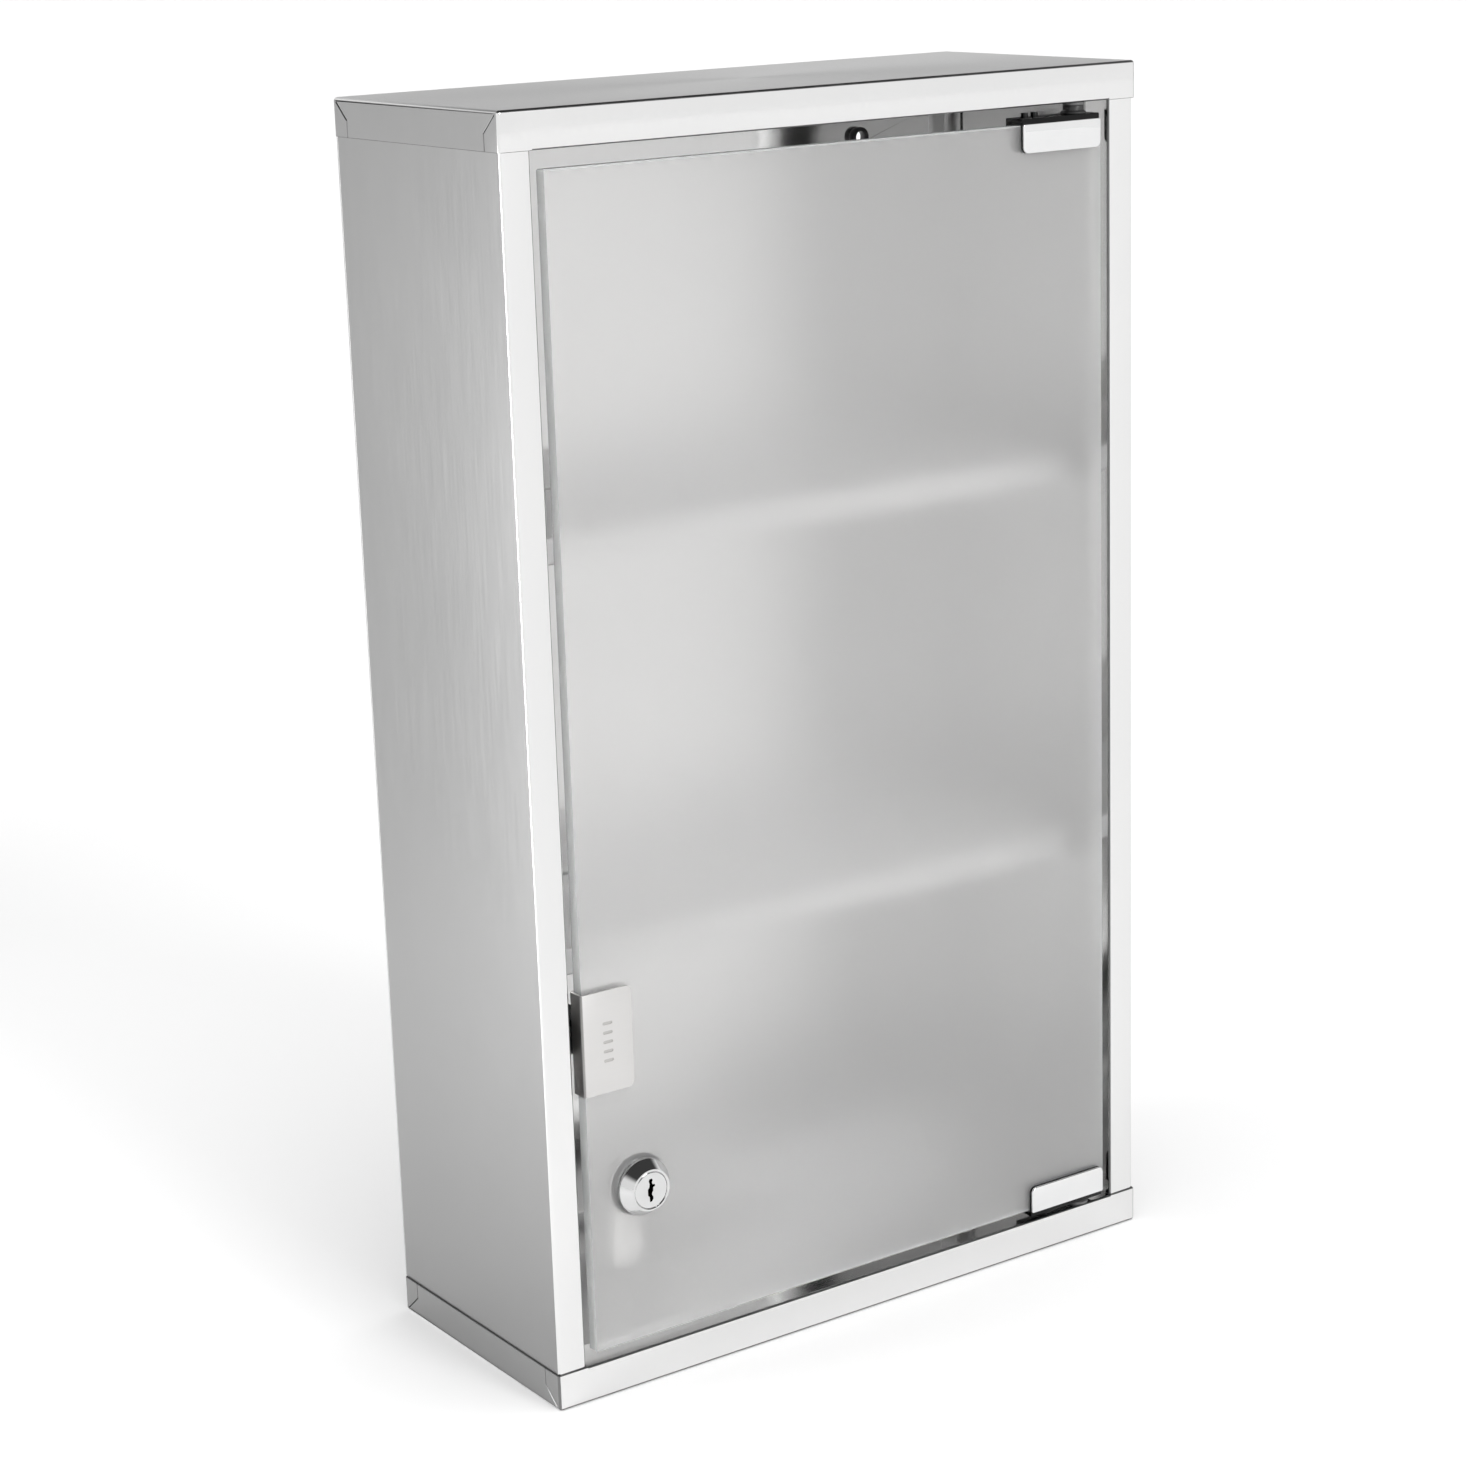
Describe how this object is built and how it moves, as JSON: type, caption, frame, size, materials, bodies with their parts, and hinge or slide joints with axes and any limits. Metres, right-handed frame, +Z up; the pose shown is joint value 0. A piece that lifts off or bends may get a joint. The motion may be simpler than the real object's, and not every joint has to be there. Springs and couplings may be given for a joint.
{
  "type": "medicine cabinet",
  "caption": "Lockable wall cabinet in folded stainless sheet with shelves, a frosted-glass door on pivot hinges, a cam lock and a push-to-open latch.",
  "frame": {"origin": "middle of the back, on the wall plane", "axes": "+Z up, +Y into the wall, -Y the front with the door, +X to the right as seen from the front"},
  "size_m": [0.3, 0.1286, 0.504],
  "materials": {
    "stainless_sheet": "polished, fine grain",
    "shelf_sheet": "satin",
    "zinc_steel": "zinc plated",
    "spring_steel": "bright wire",
    "frosted_glass": "satin etched on the back, polished edges",
    "bright_chrome": "mirror",
    "dark_zinc": "black nickel",
    "satin_nickel": "satin",
    "cam_steel": "zinc plated",
    "black_plastic": "moulded",
    "grey_nylon": "moulded",
    "black_rubber": "matt",
    "magnet_ferrite": "ground face",
    "wafer_brass": "stamped"
  },
  "bodies": {
    "cabinet": {"top_cap": "stainless_sheet", "bottom_cap": "stainless_sheet", "left_side_panel": "stainless_sheet", "right_side_panel": "stainless_sheet", "back_panel": "stainless_sheet", "upper_shelf": "shelf_sheet", "lower_shelf": "shelf_sheet", "shelf_supports": "zinc_steel", "latch_bracket": "zinc_steel", "latch_screws": "zinc_steel", "latch_spring": "spring_steel", "hole_grommets": "black_plastic", "latch_housing": "black_plastic", "top_pivot_bush": "grey_nylon", "bottom_pivot_bush": "grey_nylon"},
    "door": {"glass_door": "frosted_glass", "top_hinge_clamp": "dark_zinc", "bottom_hinge_clamp": "dark_zinc", "top_hinge_cover": "bright_chrome", "bottom_hinge_cover": "bright_chrome", "top_hinge_gasket": "black_rubber", "bottom_hinge_gasket": "black_rubber", "hinge_set_screws": "dark_zinc", "top_pivot_pin": "zinc_steel", "bottom_pivot_pin": "zinc_steel", "top_pivot_spacer": "black_plastic", "bottom_pivot_spacer": "black_plastic", "push_plate": "satin_nickel", "push_plate_pad": "black_rubber", "lock_housing": "bright_chrome", "lock_gasket": "black_rubber", "lock_washer": "zinc_steel", "lock_nut": "zinc_steel"},
    "lock": {"lock_plug": "bright_chrome", "lock_wafers": "wafer_brass", "lock_cam": "cam_steel", "cam_screw": "zinc_steel"},
    "plunger": {"latch_plunger": "black_plastic", "latch_magnet": "magnet_ferrite"}
  },
  "joints": [
    {"name": "door_swing", "type": "hinge", "parent": "cabinet", "child": "door", "pos_m": [0.121, -0.1175, 0], "axis": [0, 0, 1], "range_deg": [0, 120]},
    {"name": "lock_turn", "type": "hinge", "parent": "door", "child": "lock", "pos_m": [-0.1075, -0.122, -0.1675], "axis": [0, 1, 0], "range_deg": [0, 90]},
    {"name": "latch_press", "type": "slide", "parent": "cabinet", "child": "plunger", "axis": [0, 1, 0], "range_m": [0, 0.003], "stiffness_N_per_m": 300, "springref_m": -0.002, "deforming": ["latch_spring"]}
  ]
}
